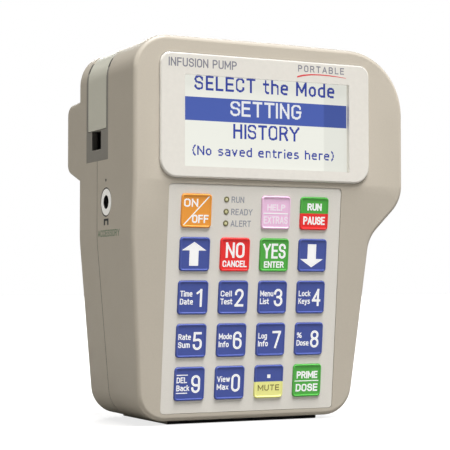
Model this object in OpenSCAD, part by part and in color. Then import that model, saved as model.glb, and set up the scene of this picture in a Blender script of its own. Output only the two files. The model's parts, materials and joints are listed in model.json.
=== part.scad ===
// Hand-held infusion pump: a two-shell housing with a display, a nineteen-key
// pad, a peristaltic mechanism across the top under a hinged door, and a
// two-cell battery bay behind a hinged cover.
// Frame: X to the right seen from the front, Y from front to back, Z up.
// The origin is under the middle of the overall box, on the standing plane.

/* [Body outline] */
// Half the overall width of the upper body
half_w = 51.57; // [51.4:0.01:51.8]
// Overall height, from the foot plate to the top
top_z = 129; // [128.8:0.1:129.4]
// Underside of the housing, which is also the foot plate's thickness
bottom_z = 1.25; // [1.1:0.05:1.4]
// Middle of the lower body, left of the overall middle
low_mid_x = -6.27; // [-6.4:0.01:-6.2]
// Half the width of the lower body at its foot, edge to edge
low_half_w = 39.95; // [39.8:0.01:40.1]
// Half the width of the lower body where its taper ends
taper_half_w = 45.3; // [45.2:0.01:45.4]
// Height at which the left side starts to taper
taper_z = 62.4; // [62:0.1:63]
// Radius of the top left corner
top_left_r = 12; // [11:0.5:13]
// Radius of the top right corner
top_right_r = 22; // [21:0.5:23]
// How far the top falls towards its right corner
top_fall = 0.8; // [0.6:0.1:1]
// Radius of the two bottom corners
bottom_r = 10; // [9:0.5:11]

/* [Depths] */
// Front face of the housing above the bend
front_y = -31.2; // [-31.2:0.1:-31]
// Parting plane of the two shells
seam_y = 1.39; // [1.3:0.01:1.5]
// Width of the line between the two shells
seam_gap = 0.25; // [0.2:0.05:0.3]
// Rear face of the housing
rear_y = 19.5; // [19.4:0.1:19.7]
// Back of the motor hump
hump_y = 31.93; // [31.8:0.01:32]
// Height at which the front face bends back
bend_z = 81.24; // [81.2:0.01:81.3]
// Lean of the key panel, in degrees
lean = 5.49; // [5.4:0.01:5.6]
// Wall thickness of the shells
wall = 2.2; // [2.1:0.1:2.3]
// Rounding of the outer edges of the shells
edge_r = 1.5; // [1.2:0.1:2.5]

/* [Display] */
// Left edge of the display window
win_x0 = -42.58; // [-42.8:0.01:-42.4]
// Right edge of the display window
win_x1 = 37.4; // [37.2:0.01:37.5]
// Lower edge of the display window
win_z0 = 81.82; // [81.7:0.01:81.9]
// Upper edge of the display window
win_z1 = 123.31; // [123.2:0.01:123.5]
// How far the window stands out of the shell
win_proud = 0.73; // [0.6:0.01:0.73]

/* [Keys] */
// Width of a key
key_w = 11; // [10.8:0.1:11.2]
// Height of a key
key_h = 11.2; // [11:0.1:11.4]
// Distance between the key columns
key_px = 14.91; // [14.8:0.01:15]
// Distance between the key rows, along the panel
key_pz = 14.44; // [14.4:0.01:14.5]
// How far a key stands out of the shell
key_proud = 0.35; // [0.3:0.05:0.5]

// Radius of a key's corners
key_r = 1.2; // [1:0.1:1.4]
// Gap around a key in the panel
key_gap = 0.1; // [0.1:0.05:0.2]

/* [Mechanism] */
// Height of the camshaft
cam_z = 97.7; // [97.6:0.1:97.8]
// Front edge of the tube channel
chan_y0 = -8.44; // [-8.5:0.01:-8.4]
// Rear edge of the tube channel
chan_y1 = 12.01; // [12:0.01:12.1]
// Underside of the mechanism frame
frame_z = 89.05; // [89:0.01:89.1]
// Lower end of the door's left side
door_z = 99.85; // [99.8:0.01:99.9]
// Thickness of the door's skin
door_t = 3; // [2.9:0.1:3.1]
// Radius of the platen that the tube lies against
platen_r = 24; // [24:0.1:24.3]
// Radius of the finger tips when they are drawn in
tip_r = 22.3; // [22.1:0.1:22.4]
// Tooth module of the gears
gear_m = 0.7; // [0.7]
// Teeth of the cam gear
gear_n = 56; // [56]
// Teeth of the motor pinion
pinion_n = 14; // [14]

/* [Battery bay] */
// Diameter of a cell
cell_d = 26.2; // [25.8:0.1:26.2]
// Length of a cell
cell_l = 50; // [49.5:0.1:50]

/* [Hidden] */

$fn = 48;
e = 0.01;

shell_c = [0.78, 0.74, 0.68];
dark_c = [0.42, 0.41, 0.38];
strip_c = [0.68, 0.68, 0.63];
key_x0 = -28.7;
key_s0 = 10.2;
plane_x = low_mid_x;
cheek0 = chan_y0 + 1.7;
cheek1 = chan_y1 - 1.58;
door_y0 = chan_y0 + 1.91;
door_y1 = chan_y1 - 1.78;
hinge_x = 47.6;
hinge_z = 95.5;
latch_x = -36.5;
latch_z = 126.2;
pinion_x = -(gear_m * (gear_n + pinion_n) / 2 + 0.1);
bay_x0 = low_mid_x - 28.6;
bay_x1 = low_mid_x + 28.6;
bat_hinge_y = 17.8;
bat_hinge_z = 6.6;
cell_z = 8.3;
cell_y = 3.2;
// screws that join the two shells, and short ones into the mechanism frame
screw_xz = [[-46.2, 62], [46, 84.5], [-38.6, 12], [26.1, 12]];
top_xz = [[-43.5, 118.5], [42, 117]];

// ---- plane outlines: corners with radii, offset inwards by t ----
function unit(v) = v / norm(v);
function turn(a, b) = atan2(a[0] * b[1] - a[1] * b[0], a * b);
function rot2(v, a) = [v[0] * cos(a) - v[1] * sin(a), v[0] * sin(a) + v[1] * cos(a)];
function corner(p, q, r, rad, n, t) =
  let (d1 = unit(q - p), d2 = unit(r - q), n1 = [-d1[1], d1[0]], n2 = [-d2[1], d2[0]],
       m = (n1 + n2) / (1 + n1 * n2), th = turn(d1, d2), v = q + m * t)
  (n == 0 || rad == 0) ? [v]
  : let (s = th > 0 ? 1 : -1, rr = max(rad - s * t, 0.05))
    [for (k = [0 : n]) v + s * rr * (m - rot2(n1, th * k / n))];
// c is a list of [x, z, radius, steps] in anticlockwise order
function ring(c, t) =
  let (n = len(c))
  [for (i = [0 : n - 1])
    let (a = c[(i + n - 1) % n], b = c[i], d = c[(i + 1) % n])
    each corner([a[0], a[1]], [b[0], b[1]], [d[0], d[1]], b[2], b[3], t)];

taper = (taper_half_w - low_half_w) / (taper_z - bottom_z);
function right_x(z) = low_mid_x + low_half_w + (z - bottom_z) * taper;
// the body, seen from the front, starting where the left side begins its taper
outline = [
  [-half_w, taper_z, 60, 3],
  [low_mid_x - low_half_w, bottom_z, bottom_r, 9],
  [low_mid_x + low_half_w, bottom_z, bottom_r, 9],
  [right_x(63.1), 63.1, 12, 7],
  [half_w, 76.2, 12.2, 8],
  [half_w, bend_z, 0, 0],
  [half_w, top_z - top_fall, top_right_r, 14],
  [0, top_z, 60, 2],
  [-half_w, top_z, top_left_r, 11],
  [-half_w, bend_z, 0, 0]];
np = len(ring(outline, 0));
// number of the point at the right end of the bend
nb = 4 + 10 + 10 + 8 + 9;

// a stack of rings closed at both ends; lv = [[inset, y, leaning?], ...]
function lean_y(z, on) = on ? max(0, bend_z - z) * tan(lean) : 0;
module stack(lv) {
  k = len(lv);
  pts = [for (l = lv) each [for (p = ring(outline, l[0])) [p[0], l[1] + lean_y(p[1], l[2]), p[1]]]];
  low = [for (i = [0 : nb]) i];
  function cap(b, back) = [
    concat([for (i = [0 : nb]) b + i], [b + np - 1]),
    concat([b + nb], [for (i = [nb + 1 : np - 1]) b + i])];
  function rev(f) = [for (i = [len(f) - 1 : -1 : 0]) f[i]];
  function flip0(f) = concat([f[0]], [for (i = [len(f) - 1 : -1 : 1]) f[i]]);
  polyhedron(points = pts, faces = concat(
    [for (f = cap(0)) flip0(f)],
    cap((k - 1) * np),
    [for (j = [0 : k - 2]) for (i = [0 : np - 1])
      let (a = j * np + i, b = j * np + (i + 1) % np)
      [a, b, b + np, a + np]]));
}
function round_lv(r, y, n) = [for (k = [0 : n]) [r * (1 - sin(90 * k / n)), y + r * (1 - cos(90 * k / n)), true]];

// ---- small helpers ----
module xz(y0, y1) translate([0, y1, 0]) rotate([90, 0, 0]) linear_extrude(y1 - y0) children();
module ycyl(x, z, y0, y1, r) translate([x, y1, z]) rotate([90, 0, 0]) cylinder(r = r, h = y1 - y0);
module xcyl(y, z, x0, x1, r) translate([x0, y, z]) rotate([0, 90, 0]) cylinder(r = r, h = x1 - x0);
module box(x0, x1, y0, y1, z0, z1) translate([x0, y0, z0]) cube([x1 - x0, y1 - y0, z1 - z0]);
module on_panel() translate([0, front_y, bend_z]) rotate([lean, 0, 0]) children();
module rrect(w, h, r) {
  square([w - 2 * r, h], center = true);
  square([w, h - 2 * r], center = true);
  for (i = [-1, 1], j = [-1, 1]) translate([i * (w / 2 - r), j * (h / 2 - r)]) circle(r = r, $fn = 24);
}
panel_outline = [[-38.84, -77.8, 1.2, 4], [26.47, -77.8, 1.2, 4], [26.47, -1.35, 1.2, 4], [-38.84, -1.35, 1.2, 4]];
win_outline = [[win_x0, win_z0, 6, 6], [win_x1, win_z0, 6, 6], [win_x1, win_z1, 3.8, 5], [win_x0, win_z1, 3.8, 5]];

// the hump's outline in the Y-Z plane, and its ends
hump_x0 = -half_w + 0.03;
hump_x1 = 39;
hump = [[13, 80.8, 0, 0], [hump_y, 87.2, 4, 6], [hump_y, 111.1, 4, 6], [13, 112.2, 0, 0]];
module hump_stack(lv) {
  n = len(ring(hump, 0));
  k = len(lv);
  pts = [for (l = lv) each [for (p = ring(hump, l[0])) [l[1], p[0], p[1]]]];
  polyhedron(points = pts, faces = concat(
    [[for (i = [0 : n - 1]) i]], [[for (i = [n - 1 : -1 : 0]) (k - 1) * n + i]],
    [for (j = [0 : k - 2]) for (i = [0 : n - 1])
      let (a = j * n + i, b = j * n + (i + 1) % n) [a, a + n, b + n, b]]));
}
function key_at(c, r) = [key_x0 + c * key_px, -(key_s0 + r * key_pz)];
module keys_grid() for (r = [0 : 4], c = [0 : 3]) if (!(r == 0 && c == 1)) let (p = key_at(c, r)) translate([p[0], 0, p[1]]) children();

// ---- shells ----
module front_housing() color(shell_c) difference() {
  union() {
    difference() {
      stack(concat(round_lv(edge_r, front_y, 6), [[0, seam_y, false]]));
      stack([[wall + 0.6, front_y + wall, true], [wall, front_y + wall + 0.6, true], [wall, seam_y + 1, false]]);
    }
    for (p = screw_xz) ycyl(p[0], p[1], front_y + wall - 0.6 + lean_y(p[1], true), seam_y, 2.8);
  }
  // display window seat and opening
  xz(front_y - 5, front_y - win_proud + 1.73) polygon(ring(win_outline, -0.1));
  box(-34.6, 30.1, front_y - 5, front_y + 4, 84.8, 117);
  // key panel seat and opening
  on_panel() {
    xz(-5, 1.15) polygon(ring(panel_outline, -0.1));
    box(-36.6, 23.1, 0, 5, -75.2, -3.4);
  }
  // tube channel across the top
  box(-60, 60, chan_y0, seam_y + 1, frame_z, 140);
  // side jack
  xcyl(-6.63, 74.6, -60, -45, 5);
  // screw pilots
  for (p = screw_xz) ycyl(p[0], p[1], -15, seam_y + 1, 1.25);
}

module rear_housing() color(shell_c) difference() {
  union() {
    difference() {
      union() {
        // the first steps leave a narrow line between the two shells
        stack([for (l = [[0.9, seam_y], [0.9, seam_y + seam_gap], [0, seam_y + seam_gap], [0, rear_y - edge_r], for (k = [1 : 6]) [edge_r * (1 - cos(15 * k)), rear_y - edge_r * (1 - sin(15 * k))]]) [l[0], l[1], false]]);
        hump_stack([for (k = [0 : 5]) [edge_r * (1 - sin(18 * k)), hump_x0 + edge_r * (1 - cos(18 * k))],
                    for (k = [5 : -1 : 0]) [edge_r * (1 - sin(18 * k)), hump_x1 - edge_r * (1 - cos(18 * k))]]);
      }
      stack([[wall, seam_y - 1, false], [wall, rear_y - wall - 0.6, false], [wall + 0.6, rear_y - wall, false]]);
      hump_stack([[wall, hump_x0 + wall + 0.05], [wall, hump_x1 - wall]]);
    }
    for (p = screw_xz) ycyl(p[0], p[1], seam_y, rear_y - wall + 0.6, 3.4);
    for (p = top_xz) ycyl(p[0], p[1], chan_y1, rear_y - wall + 0.6, 3.4);
    // lugs of the battery cover's hinge
    box(bay_x0 - 3.2, bay_x0, 15, rear_y - wall + 0.5, 2.6, 9);
    box(bay_x1, bay_x1 + 3.2, 15, rear_y - wall + 0.5, 2.6, 9);
  }
  // tube channel
  box(-60, 60, seam_y - 1, chan_y1, frame_z, 140);
  // battery bay
  box(bay_x0, bay_x1, 14, rear_y + 5, 4.5, 58.3);
  xcyl(bat_hinge_y, bat_hinge_z, bay_x0 - 2.2, bay_x1 + 2.2, 0.8);
  // screw holes, counterbored from behind
  for (p = concat(screw_xz, top_xz)) {
    ycyl(p[0], p[1], seam_y - 1, rear_y + 1, 1.5);
    ycyl(p[0], p[1], 16.6, rear_y + 1, 2.6);
  }
}

// ---- display ----
module display_window() color([0.9, 0.89, 0.86]) difference() {
  xz(front_y - win_proud, front_y - win_proud + 1.73) polygon(ring(win_outline, 0));
  box(-33.68, 29.2, front_y - 5, front_y + 4, 85.7, 116.15);
}
module lcd_panel() color([0.85, 0.86, 0.84]) box(-34.3, 29.8, front_y + 1, front_y + 2.6, 85.1, 116.7);
module lcd_backlight() color("white") box(-38, 32, front_y + 2.6, front_y + 7.2, 82.5, 120);
module main_board() color([0.1, 0.35, 0.2]) box(-42, 37, front_y + 7.2, front_y + 8.8, 84, 123.5);
module board_chips() color([0.12, 0.12, 0.12]) {
  box(-30, -16, front_y + 8.8, front_y + 10.4, 96, 110);
  box(-8, 2, front_y + 8.8, front_y + 10.2, 98, 105);
  box(8, 18, front_y + 8.8, front_y + 10.8, 92, 98);
  box(6, 14, front_y + 8.8, front_y + 10, 106, 112);
  for (i = [0 : 3]) box(-36 + i * 9, -32 + i * 9, front_y + 8.8, front_y + 10, 87, 90);
}
module buzzer() color([0.1, 0.1, 0.1]) difference() {
  ycyl(30, 110, front_y + 8.8, front_y + 13.4, 6.5);
  ycyl(30, 110, front_y + 12.4, front_y + 14, 1.2);
}

// ---- key pad ----
module keypad_panel() color([0.83, 0.81, 0.78]) on_panel() difference() {
  xz(0.15, 1.15) polygon(ring(panel_outline, 0));
  keys_grid() xz(-1, 2) rrect(key_w + 2 * key_gap, key_h + 2 * key_gap, key_r + key_gap);
  for (s = [6.2, 10.3, 14.2]) ycyl(-17.65, -s, -1, 2, 1);
}
module status_leds() color([0.35, 0.3, 0.28]) on_panel() for (s = [6.2, 10.3, 14.2]) ycyl(-17.65, -s, 0.1, 3.6, 0.9);
module keypad_mat() color([0.5, 0.5, 0.48]) on_panel() difference() {
  union() {
    box(-35.7, 23, 2.9, 3.6, -74.8, -3.8);
    keys_grid() box(-3, 3, 2.6, 3, -3, 3);
  }
  for (s = [6.2, 10.3, 14.2]) ycyl(-17.65, -s, 1, 5, 1.2);
}
module keypad_board() color([0.1, 0.35, 0.2]) on_panel() box(-35.7, 23, 3.6, 5.2, -74.8, -3.8);
// a key: cap, skirt behind the panel
module key(c, r, col) color(col) on_panel() let (p = key_at(c, r)) translate([p[0], 0, p[1]]) {
  xz(-key_proud + 0.25, 1.4) rrect(key_w, key_h, key_r);
  xz(-key_proud, -key_proud + 0.3) rrect(key_w - 0.5, key_h - 0.5, key_r - 0.25);
  box(-6.35, 6.35, 1.25, 1.9, -6.2, 6.2);
}
blue = [0.24, 0.3, 0.57];
module key_power() key(0, 0, "orange");
module key_help() key(2, 0, "pink");
module key_run() key(3, 0, "green");
module key_up() key(0, 1, blue);
module key_no() key(1, 1, "red");
module key_yes() key(2, 1, "green");
module key_down() key(3, 1, blue);
module key_1() key(0, 2, blue);
module key_2() key(1, 2, blue);
module key_3() key(2, 2, blue);
module key_4() key(3, 2, blue);
module key_5() key(0, 3, blue);
module key_6() key(1, 3, blue);
module key_7() key(2, 3, blue);
module key_8() key(3, 3, blue);
module key_9() key(0, 4, blue);
module key_0() key(1, 4, blue);
module key_silence() key(2, 4, "khaki");
module key_prime() key(3, 4, "green");

// ---- side jack, foot, screws ----
module accessory_jack() color([0.15, 0.14, 0.14]) difference() {
  union() {
    xcyl(-6.63, 74.6, -half_w + 0.1, -49.4, 4.95);
    xcyl(-6.63, 74.6, -49.5, -39, 4.4);
  }
  xcyl(-6.63, 74.6, -60, -42, 2.3);
  xcyl(-6.63, 74.6, -60, -50.3, 4.55);
}
module jack_ring() color("silver") difference() {
  xcyl(-6.63, 74.6, -half_w + 0.05, -50.3, 4.55);
  xcyl(-6.63, 74.6, -60, -42, 2.3);
}
module base_foot() color([0.1, 0.1, 0.1]) translate([-6.25, -0.75, 0]) linear_extrude(bottom_z) rrect(57.3, 38.9, 0.8);
module housing_screws() color("silver") for (p = concat(screw_xz, top_xz)) difference() {
  union() {
    ycyl(p[0], p[1], p[1] > 100 ? cheek1 + 0.1 : -12, 17, 1.25);
    ycyl(p[0], p[1], 16.6, 19, 2.5);
  }
  box(p[0] - 0.4, p[0] + 0.4, 18.2, 20, p[1] - 1.6, p[1] + 1.6);
  box(p[0] - 1.6, p[0] + 1.6, 18.2, 20, p[1] - 0.4, p[1] + 0.4);
}

// ---- tube channel and pumping mechanism ----
module body2d(t) polygon(ring(outline, t));
module cheek(y0, y1) xz(y0, y1) intersection() {
  body2d(0);
  translate([-60, frame_z]) square([120, 60]);
}
module mechanism_frame() color(dark_c) difference() {
  union() {
    cheek(chan_y0, cheek0);
    cheek(cheek1, chan_y1);
    box(-half_w, half_w, chan_y0, chan_y1, frame_z, frame_z + 1.95);
    difference() {
      box(-half_w, -49.4, chan_y0, chan_y1, frame_z, 99.65);
      box(-60, -45, -1.75, 6.79, 93.06, 105);
    }
  }
  ycyl(0, cam_z, -20, 20, 4);
  // room in the floor for the cam as it turns
  box(-12.6, 12.6, cheek0 + 0.6, cheek1 - 0.6, frame_z - 1, frame_z + 3);
  ycyl(hinge_x, hinge_z, -20, 20, 1.5);
  for (p = top_xz) ycyl(p[0], p[1], cheek1 - 0.5, 20, 1.25);
  // finger nick at the rear edge of the door
  ycyl(-48.4, 126.1, cheek1 - 1, 20, 1.9);
}
module sector(r, a) polygon(concat([[0, 0]], [for (k = [0 : 8]) let (b = 90 + a - 2 * a * k / 8) [r * cos(b), r * sin(b)]]));
module finger_guide() color([0.85, 0.85, 0.82]) difference() {
  xz(cheek0, cheek1) translate([0, cam_z]) difference() {
    union() {
      circle(r = 21.2, $fn = 96);
      translate([-21.2, frame_z + 1.95 - cam_z]) square([42.4, cam_z - frame_z - 1.95]);
    }
    circle(r = 13.4, $fn = 96);
    translate([-30, -30]) square([60, 30 - (cam_z - frame_z - 1.95)]);
    translate([-13.4, -30]) square([26.8, 30]);
  }
  for (a = [-45, 0, 45]) translate([0, 0, cam_z]) rotate([0, a, 0]) box(-2.5, 2.5, -3.75, 7.45, 10, 30);
}
module camshaft_bearings() color("silver") for (y = [[chan_y0, cheek0], [cheek1, chan_y1]]) difference() {
  ycyl(0, cam_z, y[0], y[1], 4);
  ycyl(0, cam_z, -20, 20, 2.03);
}
module camshaft() color([0.75, 0.75, 0.75]) ycyl(0, cam_z, -8.3, 16, 2);
module pump_cam() color([0.92, 0.92, 0.9]) difference() {
  union() {
    ycyl(0.9, cam_z + 0.9, -3.6, 7.3, 10.4);
    ycyl(0, cam_z, cheek0 + 0.2, cheek1 - 0.2, 3.6);
  }
  ycyl(0, cam_z, -20, 20, 2);
}
function invo(rb, r) = r <= rb ? 0 : sqrt((r / rb) * (r / rb) - 1) * 180 / PI - acos(rb / r);
function half_tooth(n, r) = let (rp = gear_m * n / 2, rb = rp * cos(20))
  90 / n - 0.032 / rp * 180 / PI + invo(rb, rp) - invo(rb, r);
function gear_pts(n, ph) = let (rp = gear_m * n / 2, rb = rp * cos(20), rr = rp - 1.2 * gear_m, ra = rp + 0.85 * gear_m,
    rs = [max(rb, rr), (max(rb, rr) + rp) / 2, rp, (rp + ra) / 2, ra])
  [for (i = [0 : n - 1]) let (c = ph + 360 * i / n) each concat(
    [let (a = c - half_tooth(n, rs[0])) rr * [cos(a), sin(a)]],
    [for (r = rs) if (r > rr + 0.01) let (a = c - half_tooth(n, r)) r * [cos(a), sin(a)]],
    [for (k = [4 : -1 : 0]) if (rs[k] > rr + 0.01) let (a = c + half_tooth(n, rs[k])) rs[k] * [cos(a), sin(a)]],
    [let (a = c + half_tooth(n, rs[0])) rr * [cos(a), sin(a)]])];
module cam_gear() color([0.8, 0.66, 0.35]) difference() {
  union() {
    xz(13, 15.4) translate([0, cam_z]) polygon(gear_pts(gear_n, 0));
    ycyl(0, cam_z, 12.4, 15.8, 4.5);
  }
  ycyl(0, cam_z, -20, 20, 2);
  for (a = [30 : 60 : 330]) translate([0, 0, cam_z]) rotate([0, a, 0]) ycyl(0, 11, 0, 20, 3.2);
}
module motor_pinion() color([0.8, 0.66, 0.35]) {
  xz(13, 15.4) translate([pinion_x, cam_z]) polygon(gear_pts(pinion_n, 180 / pinion_n));
  ycyl(pinion_x, cam_z, 13, 22, 1);
}
module gearmotor() color("silver") difference() {
  union() {
    ycyl(pinion_x, cam_z, 17.3, 28.3, 7.8);
    ycyl(pinion_x, cam_z, 16.1, 17.4, 3.2);
  }
  ycyl(pinion_x, cam_z, 15, 23, 1.03);
}
module motor_bracket() color([0.6, 0.6, 0.6]) difference() {
  box(-39, -11, 16.1, 17.3, 84, 111.5);
  ycyl(pinion_x, cam_z, 15, 23, 3.2);
}
// a radial finger, drawn in
module finger(a, w) color("white") translate([0, 0, cam_z]) rotate([0, a, 0]) {
  box(-2.4, 2.4, -3.65, 7.35, 12.5, tip_r - 2.4 + e);
  intersection() {
    ycyl(0, tip_r - 2.4, -3.65, 7.35, 2.4);
    box(-3, 3, -5, 9, tip_r - 2.4, tip_r + 1);
  }
}
module inlet_valve_finger() finger(-45);
module pump_finger() finger(0);
module outlet_valve_finger() finger(45);

// ---- door over the tube channel ----
module skin2d() difference() { body2d(0); body2d(door_t); }
module pump_door() color(strip_c) difference() {
  union() {
    // skin over the top and down the right side
    xz(door_y0, door_y1) intersection() {
      skin2d();
      translate([latch_x + 3.1, 100]) square([100, 40]);
    }
    for (y = [[door_y0, door_y0 + 4.2], [door_y1 - 3.2, door_y1]]) {
      // hinge arms on the right
      xz(y[0], y[1]) intersection() {
        body2d(0);
        union() {
          translate([hinge_x, hinge_z]) circle(r = 3.2);
          polygon([[hinge_x - 3.2, hinge_z], [hinge_x + 3.2, hinge_z], [half_w, 98.5], [half_w, 104], [hinge_x + 0.97, 104]]);
        }
      }
    }
    for (y = [[door_y0, door_y0 + 3], [door_y1 - 3, door_y1]]) {
      // arms that carry the latch
      ycyl(latch_x, latch_z, y[0], y[1], 2.75);
      box(latch_x, latch_x + 4, y[0], y[1], latch_z - 2.5, top_z);
    }
  }
  ycyl(hinge_x, hinge_z, -20, 20, 1.55);
  ycyl(latch_x, latch_z, -20, 20, 1);
}
module platen() color([0.85, 0.85, 0.82]) difference() {
  xz(door_y0 + 0.7, door_y1 - 0.7) intersection() {
    translate([-22.6, 108]) square([45.2, 30]);
    body2d(door_t);
  }
  ycyl(0, cam_z, -20, 20, platen_r);
}
module door_hinge_pins() color("silver") {
  ycyl(hinge_x, hinge_z, chan_y0, door_y0 + 4.2, 1.5);
  ycyl(hinge_x, hinge_z, door_y1 - 3.2, chan_y1, 1.5);
}
module door_latch() color(strip_c) difference() {
  union() {
    xz(door_y0, door_y1) intersection() {
      skin2d();
      translate([-100, door_z]) square([100 + latch_x - 3.1, 60]);
    }
    box(latch_x - 3.3, latch_x, door_y0 + 3.3, door_y1 - 3.3, top_z - door_t, top_z);
    ycyl(latch_x, latch_z, door_y0 + 3.3, door_y1 - 3.3, 2.75);
  }
  ycyl(latch_x, latch_z, -20, 20, 1.04);
}
module latch_pin() color("silver") ycyl(latch_x, latch_z, door_y0, door_y1, 1);
module air_detector() color([0.2, 0.2, 0.22]) difference() {
  box(-47.5, -41.5, cheek0, cheek1, frame_z + 1.95, 101.5);
  box(-50, -40, -0.4, 5.4, 94, 110);
}
module pressure_sensors() color([0.7, 0.7, 0.7]) for (x = [-33, 34]) translate([x, 2.5, frame_z + 1.95]) cylinder(r = 3.2, h = 3);

// ---- battery bay ----
module battery_tray() color([0.25, 0.25, 0.25]) difference() {
  box(bay_x0 + 0.4, bay_x1 - 0.4, -11.6, rear_y - wall - 0.05, bottom_z + wall, 60.4);
  box(bay_x0 + 1.6, bay_x1 - 1.6, -10.4, 30, bottom_z + wall + 1.2, 59.2);
  box(-100, 100, 15.6, 30, 0, 8.4);
  box(-100, 100, 16.8, 30, 0, 100);
}
module battery_cells() color([0.3, 0.3, 0.32]) for (i = [-1, 1]) translate([low_mid_x + i * 13.4, cell_y, cell_z]) {
  cylinder(r = cell_d / 2, h = cell_l - 1.2);
  cylinder(r = 3.8, h = cell_l);
}
module battery_contacts() color("silver") for (i = [-1, 1]) box(low_mid_x + i * 13.4 - 5, low_mid_x + i * 13.4 + 5, -1.8, 8.2, cell_z + cell_l, 59.2);
// a closed tube of six sides along a conical coil
module coil(r0, r1, h, turns, w) {
  n = turns * 14;
  m = 6;
  function c(k) = let (a = 360 * k / 14, r = r0 + (r1 - r0) * k / n) [r * cos(a), r * sin(a), w + (h - 2 * w) * k / n, a];
  pts = [for (k = [0 : n]) let (q = c(k)) each [for (j = [0 : m - 1]) let (b = 360 * j / m)
    [q[0] + w * cos(b) * cos(q[3]), q[1] + w * cos(b) * sin(q[3]), q[2] + w * sin(b)]]];
  polyhedron(points = pts, faces = concat(
    [[for (j = [0 : m - 1]) j]], [[for (j = [m - 1 : -1 : 0]) n * m + j]],
    [for (k = [0 : n - 1]) for (j = [0 : m - 1]) let (a = k * m + j, b = k * m + (j + 1) % m) each [[a, a + m, b + m], [a, b + m, b]]]));
}
module battery_springs() color("silver") for (i = [-1, 1]) translate([low_mid_x + i * 13.4, cell_y, bottom_z + wall + 1.2]) coil(7, 3.5, cell_z - bottom_z - wall - 1.2, 3, 0.45);
module battery_door() color(shell_c) difference() {
  union() {
    box(bay_x0 + 0.2, bay_x1 - 0.2, rear_y - wall, rear_y, bat_hinge_z, 58.1);
    xcyl(bat_hinge_y, bat_hinge_z, bay_x0 + 0.2, bay_x1 - 0.2, 1.6);
  }
  xcyl(bat_hinge_y, bat_hinge_z, -60, 60, 0.84);
  // thumb grip
  for (i = [0 : 4]) box(low_mid_x - 9, low_mid_x + 9, rear_y - 0.6, rear_y + 1, 47 + i * 2, 48 + i * 2);
}
module battery_hinge_pin() color("silver") xcyl(bat_hinge_y, bat_hinge_z, bay_x0 - 2.2, bay_x1 + 2.2, 0.8);

front_housing();
rear_housing();
display_window();
lcd_panel();
lcd_backlight();
keypad_panel();
status_leds();
keypad_mat();
keypad_board();
key_power();
key_help();
key_run();
key_up();
key_no();
key_yes();
key_down();
key_1();
key_2();
key_3();
key_4();
key_5();
key_6();
key_7();
key_8();
key_9();
key_0();
key_silence();
key_prime();
main_board();
board_chips();
buzzer();
accessory_jack();
jack_ring();
base_foot();
housing_screws();
mechanism_frame();
finger_guide();
camshaft_bearings();
camshaft();
pump_cam();
cam_gear();
motor_pinion();
gearmotor();
motor_bracket();
inlet_valve_finger();
pump_finger();
outlet_valve_finger();
pump_door();
platen();
door_hinge_pins();
door_latch();
latch_pin();
air_detector();
pressure_sensors();
battery_tray();
battery_cells();
battery_contacts();
battery_springs();
battery_door();
battery_hinge_pin();
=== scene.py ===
import bpy, bmesh, json, math
from mathutils import Vector, Matrix
import numpy as np

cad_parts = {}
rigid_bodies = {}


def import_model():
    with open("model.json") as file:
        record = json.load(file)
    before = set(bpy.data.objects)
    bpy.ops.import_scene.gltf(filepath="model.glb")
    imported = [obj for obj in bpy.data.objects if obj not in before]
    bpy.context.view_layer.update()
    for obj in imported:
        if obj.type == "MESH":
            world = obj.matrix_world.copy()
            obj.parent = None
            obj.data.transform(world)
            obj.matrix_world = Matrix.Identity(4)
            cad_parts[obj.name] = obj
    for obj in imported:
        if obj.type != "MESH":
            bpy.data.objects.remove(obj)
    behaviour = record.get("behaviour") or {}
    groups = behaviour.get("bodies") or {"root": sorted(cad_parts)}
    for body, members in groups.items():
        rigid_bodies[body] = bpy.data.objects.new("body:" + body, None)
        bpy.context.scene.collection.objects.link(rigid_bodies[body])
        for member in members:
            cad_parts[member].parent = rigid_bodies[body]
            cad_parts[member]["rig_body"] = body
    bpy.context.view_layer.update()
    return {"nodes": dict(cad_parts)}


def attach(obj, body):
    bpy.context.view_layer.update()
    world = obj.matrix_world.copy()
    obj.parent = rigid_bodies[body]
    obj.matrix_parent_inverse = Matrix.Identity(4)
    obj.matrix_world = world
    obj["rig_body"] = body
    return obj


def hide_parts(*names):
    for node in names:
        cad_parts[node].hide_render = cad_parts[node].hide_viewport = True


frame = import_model()
scene = bpy.context.scene
coll = scene.collection
MM = 0.001

# ------------------------------------------------------------------ numbers
LEAN = math.radians(5.49)
FRONT_Y, BEND_Z = -31.2, 81.24
PANEL = Matrix.Translation((0, FRONT_Y * MM, BEND_Z * MM)) @ Matrix.Rotation(LEAN, 4, "X")
KEY_X0, KEY_S0, KEY_PX, KEY_PZ = -28.7, 10.2, 14.91, 14.44
KEY_W, KEY_H = 11.0, 11.2
TEXT_DX = -0.3


def lin(c):
    return tuple(((v / 255) / 12.92 if v / 255 <= 0.04045 else ((v / 255 + 0.055) / 1.055) ** 2.4) for v in c)


# ------------------------------------------------------------------ materials
def new_mat(name):
    m = bpy.data.materials.new(name)
    m.use_nodes = True
    nt = m.node_tree
    bsdf = nt.nodes["Principled BSDF"]
    return m, nt, bsdf


def coords(nt, scale=1.0):
    t = nt.nodes.new("ShaderNodeTexCoord")
    mp = nt.nodes.new("ShaderNodeMapping")
    nt.links.new(t.outputs["Object"], mp.inputs["Vector"])
    if isinstance(scale, (int, float)):
        scale = (scale, scale, scale)
    mp.inputs["Scale"].default_value = scale
    return mp.outputs["Vector"]


def noise(nt, vec, scale, detail=3.0, rough=0.5):
    n = nt.nodes.new("ShaderNodeTexNoise")
    n.inputs["Scale"].default_value = scale
    n.inputs["Detail"].default_value = detail
    n.inputs["Roughness"].default_value = rough
    nt.links.new(vec, n.inputs["Vector"])
    return n.outputs["Fac"]


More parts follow.
